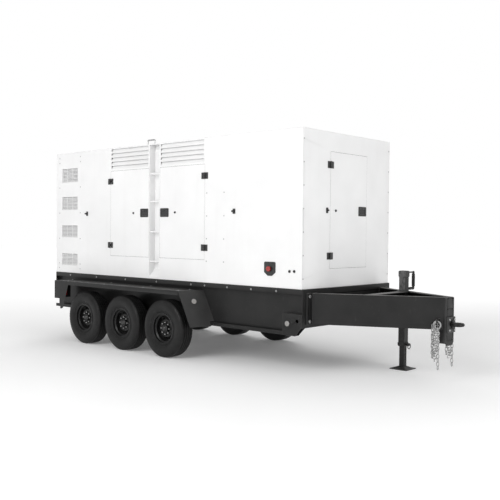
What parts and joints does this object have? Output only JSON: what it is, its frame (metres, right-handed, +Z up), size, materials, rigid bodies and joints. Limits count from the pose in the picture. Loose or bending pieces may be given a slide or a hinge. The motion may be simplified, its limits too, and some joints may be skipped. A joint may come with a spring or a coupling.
{
  "type": "towable diesel generator",
  "caption": "Enclosed diesel generator on a triple-axle road trailer, with hinged side and control doors, fenders, A-frame drawbar, towing eye, drop-leg jack and safety chains.",
  "frame": {"origin": "on the ground, midway along the overall length and midway between the two sides", "axes": "+X towards the towing eye, +Y to the left-hand side when facing +X, +Z up from the ground"},
  "size_m": [6.907, 2.5804, 3.101],
  "materials": {
    "tyre_rubber": "matt",
    "wheel_steel": "satin grey-black paint",
    "chassis_black": "satin black paint",
    "body_white": "gloss white powder coat",
    "bare_steel": "zinc plated",
    "cast_iron": "painted cast iron",
    "fitting_black": "satin black",
    "lens": "clear moulded",
    "stop_red": "gloss",
    "copper_grey": "cast"
  },
  "bodies": {
    "trailer": {"base_frame": "chassis_black", "fuel_tank": "chassis_black", "axle_tubes": "chassis_black", "fender_right": "chassis_black", "fender_left": "chassis_black", "drawbar": "chassis_black", "lunette_eye": "chassis_black", "jack_housing": "chassis_black", "side_panel_right": "body_white", "side_panel_left": "body_white", "front_panel": "body_white", "rear_panel": "body_white", "roof_panel": "body_white", "grab_bails": "bare_steel", "vent_grilles": "body_white", "body_fittings": "fitting_black", "engine_block": "cast_iron", "alternator": "copper_grey", "radiator": "copper_grey", "muffler": "bare_steel", "batteries": "fitting_black", "control_panel": "fitting_black", "lamps_and_reflectors": "lens", "fasteners": "bare_steel"},
    "suspension_arm_front_right": {"suspension_arm_front_right": "chassis_black"},
    "wheel_front_right": {"wheel_front_right": "wheel_steel", "tyre_front_right": "tyre_rubber"},
    "suspension_arm_front_left": {"suspension_arm_front_left": "chassis_black"},
    "wheel_front_left": {"wheel_front_left": "wheel_steel", "tyre_front_left": "tyre_rubber"},
    "suspension_arm_middle_right": {"suspension_arm_middle_right": "chassis_black"},
    "wheel_middle_right": {"wheel_middle_right": "wheel_steel", "tyre_middle_right": "tyre_rubber"},
    "suspension_arm_middle_left": {"suspension_arm_middle_left": "chassis_black"},
    "wheel_middle_left": {"wheel_middle_left": "wheel_steel", "tyre_middle_left": "tyre_rubber"},
    "suspension_arm_rear_right": {"suspension_arm_rear_right": "chassis_black"},
    "wheel_rear_right": {"wheel_rear_right": "wheel_steel", "tyre_rear_right": "tyre_rubber"},
    "suspension_arm_rear_left": {"suspension_arm_rear_left": "chassis_black"},
    "wheel_rear_left": {"wheel_rear_left": "wheel_steel", "tyre_rear_left": "tyre_rubber"},
    "rear_door_right": {"rear_door_right": "body_white"},
    "rear_latch_right": {"rear_latch_right": "fitting_black"},
    "rear_door_left": {"rear_door_left": "body_white"},
    "rear_latch_left": {"rear_latch_left": "fitting_black"},
    "front_door_right": {"front_door_right": "body_white"},
    "front_latch_right": {"front_latch_right": "fitting_black"},
    "front_door_left": {"front_door_left": "body_white"},
    "front_latch_left": {"front_latch_left": "fitting_black"},
    "control_door": {"control_door": "body_white"},
    "control_latch": {"control_latch": "fitting_black"},
    "turning_line": {"fan_and_crankshaft": "cast_iron"},
    "stop_button": {"stop_button": "stop_red"},
    "jack_ram": {"jack_ram": "chassis_black"},
    "jack_drop_leg": {"jack_drop_leg": "chassis_black"},
    "jack_crank": {"jack_crank": "bare_steel"},
    "jack_pin": {"jack_pin": "bare_steel"},
    "safety_chain_right": {"safety_chain_right": "bare_steel"},
    "safety_chain_left": {"safety_chain_left": "bare_steel"}
  },
  "joints": [
    {"name": "suspension_front_right", "type": "hinge", "parent": "trailer", "child": "suspension_arm_front_right", "pos_m": [-0.24671, -1.02, 0.436], "axis": [0, 1, 0], "range_deg": [-10, 14], "stiffness_Nm_per_rad": 25000, "springref_deg": -3.24},
    {"name": "spin_front_right", "type": "hinge", "parent": "suspension_arm_front_right", "child": "wheel_front_right", "pos_m": [-0.395, -1.172, 0.4026], "axis": [0, 1, 0], "continuous": true},
    {"name": "suspension_front_left", "type": "hinge", "parent": "trailer", "child": "suspension_arm_front_left", "pos_m": [-0.24671, 1.02, 0.436], "axis": [0, 1, 0], "range_deg": [-10, 14], "stiffness_Nm_per_rad": 25000, "springref_deg": -3.24},
    {"name": "spin_front_left", "type": "hinge", "parent": "suspension_arm_front_left", "child": "wheel_front_left", "pos_m": [-0.395, 1.172, 0.4026], "axis": [0, 1, 0], "continuous": true},
    {"name": "suspension_middle_right", "type": "hinge", "parent": "trailer", "child": "suspension_arm_middle_right", "pos_m": [-1.16982, -1.02, 0.436], "axis": [0, 1, 0], "range_deg": [-10, 14], "stiffness_Nm_per_rad": 25000, "springref_deg": -3.24},
    {"name": "spin_middle_right", "type": "hinge", "parent": "suspension_arm_middle_right", "child": "wheel_middle_right", "pos_m": [-1.3181, -1.172, 0.4026], "axis": [0, 1, 0], "continuous": true},
    {"name": "suspension_middle_left", "type": "hinge", "parent": "trailer", "child": "suspension_arm_middle_left", "pos_m": [-1.16982, 1.02, 0.436], "axis": [0, 1, 0], "range_deg": [-10, 14], "stiffness_Nm_per_rad": 25000, "springref_deg": -3.24},
    {"name": "spin_middle_left", "type": "hinge", "parent": "suspension_arm_middle_left", "child": "wheel_middle_left", "pos_m": [-1.3181, 1.172, 0.4026], "axis": [0, 1, 0], "continuous": true},
    {"name": "suspension_rear_right", "type": "hinge", "parent": "trailer", "child": "suspension_arm_rear_right", "pos_m": [-2.09292, -1.02, 0.436], "axis": [0, 1, 0], "range_deg": [-10, 14], "stiffness_Nm_per_rad": 25000, "springref_deg": -3.24},
    {"name": "spin_rear_right", "type": "hinge", "parent": "suspension_arm_rear_right", "child": "wheel_rear_right", "pos_m": [-2.2412, -1.172, 0.4026], "axis": [0, 1, 0], "continuous": true},
    {"name": "suspension_rear_left", "type": "hinge", "parent": "trailer", "child": "suspension_arm_rear_left", "pos_m": [-2.09292, 1.02, 0.436], "axis": [0, 1, 0], "range_deg": [-10, 14], "stiffness_Nm_per_rad": 25000, "springref_deg": -3.24},
    {"name": "spin_rear_left", "type": "hinge", "parent": "suspension_arm_rear_left", "child": "wheel_rear_left", "pos_m": [-2.2412, 1.172, 0.4026], "axis": [0, 1, 0], "continuous": true},
    {"name": "rear_door_right_hinge", "type": "hinge", "parent": "trailer", "child": "rear_door_right", "pos_m": [-1.975, -0.989, 2.02], "axis": [0, 0, -1], "range_deg": [0, 170]},
    {"name": "rear_latch_right_pull", "type": "hinge", "parent": "rear_door_right", "child": "rear_latch_right", "pos_m": [-1.1645, -0.971, 2.0495], "axis": [-1, 0, 0], "range_deg": [0, 40], "stiffness_Nm_per_rad": 2, "springref_deg": -5.73},
    {"name": "rear_door_left_hinge", "type": "hinge", "parent": "trailer", "child": "rear_door_left", "pos_m": [-1.975, 0.989, 2.02], "axis": [0, 0, 1], "range_deg": [0, 170]},
    {"name": "rear_latch_left_pull", "type": "hinge", "parent": "rear_door_left", "child": "rear_latch_left", "pos_m": [-1.1645, 0.971, 2.0495], "axis": [1, 0, 0], "range_deg": [0, 40], "stiffness_Nm_per_rad": 2, "springref_deg": -5.73},
    {"name": "front_door_right_hinge", "type": "hinge", "parent": "trailer", "child": "front_door_right", "pos_m": [0.112, -0.989, 2.02], "axis": [0, 0, 1], "range_deg": [0, 170]},
    {"name": "front_latch_right_pull", "type": "hinge", "parent": "front_door_right", "child": "front_latch_right", "pos_m": [-0.7135, -0.971, 2.0495], "axis": [-1, 0, 0], "range_deg": [0, 40], "stiffness_Nm_per_rad": 2, "springref_deg": -5.73},
    {"name": "front_door_left_hinge", "type": "hinge", "parent": "trailer", "child": "front_door_left", "pos_m": [0.112, 0.989, 2.02], "axis": [0, 0, -1], "range_deg": [0, 170]},
    {"name": "front_latch_left_pull", "type": "hinge", "parent": "front_door_left", "child": "front_latch_left", "pos_m": [-0.7135, 0.971, 2.0495], "axis": [1, 0, 0], "range_deg": [0, 40], "stiffness_Nm_per_rad": 2, "springref_deg": -5.73},
    {"name": "control_door_hinge", "type": "hinge", "parent": "trailer", "child": "control_door", "pos_m": [1.8255, -0.4085, 2.038], "axis": [0, 0, -1], "range_deg": [0, 160]},
    {"name": "control_latch_pull", "type": "hinge", "parent": "control_door", "child": "control_latch", "pos_m": [1.8075, 0.309, 2.067], "axis": [0, -1, 0], "range_deg": [0, 40], "stiffness_Nm_per_rad": 2, "springref_deg": -5.73},
    {"name": "crankshaft_turn", "type": "hinge", "parent": "trailer", "child": "turning_line", "pos_m": [0, 0, 1.578], "axis": [1, 0, 0], "continuous": true},
    {"name": "stop_button_push", "type": "slide", "parent": "trailer", "child": "stop_button", "axis": [0, 1, 0], "range_m": [0, 0.006], "stiffness_N_per_m": 2000, "springref_m": -0.002},
    {"name": "jack_crank_turn", "type": "hinge", "parent": "trailer", "child": "jack_crank", "pos_m": [2.4235, 0.477, 1.247], "axis": [0, 1, 0], "range_deg": [-10800, 0]},
    {"name": "jack_ram_lift", "type": "slide", "parent": "trailer", "child": "jack_ram", "axis": [0, 0, 1], "range_m": [-0.3, 0]},
    {"name": "jack_drop_leg_slide", "type": "slide", "parent": "jack_ram", "child": "jack_drop_leg", "axis": [0, 0, 1], "range_m": [0, 0.195], "stiffness_N_per_m": 1000000, "springref_m": -0.0175},
    {"name": "jack_pin_pull", "type": "slide", "parent": "jack_ram", "child": "jack_pin", "axis": [1, 0, 0], "range_m": [0, 0.028], "stiffness_N_per_m": 600, "springref_m": -0.01},
    {"name": "safety_chain_right_swing", "type": "hinge", "parent": "trailer", "child": "safety_chain_right", "pos_m": [3.2035, -0.1735, 0.728], "axis": [1, 0, 0], "range_deg": [-25, 0]},
    {"name": "safety_chain_left_swing", "type": "hinge", "parent": "trailer", "child": "safety_chain_left", "pos_m": [3.2035, 0.1735, 0.728], "axis": [1, 0, 0], "range_deg": [0, 25]}
  ],
  "couplings": [
    {"joint": "jack_ram_lift", "follows": "jack_crank_turn", "m_per_rad": 0.0015915}
  ]
}
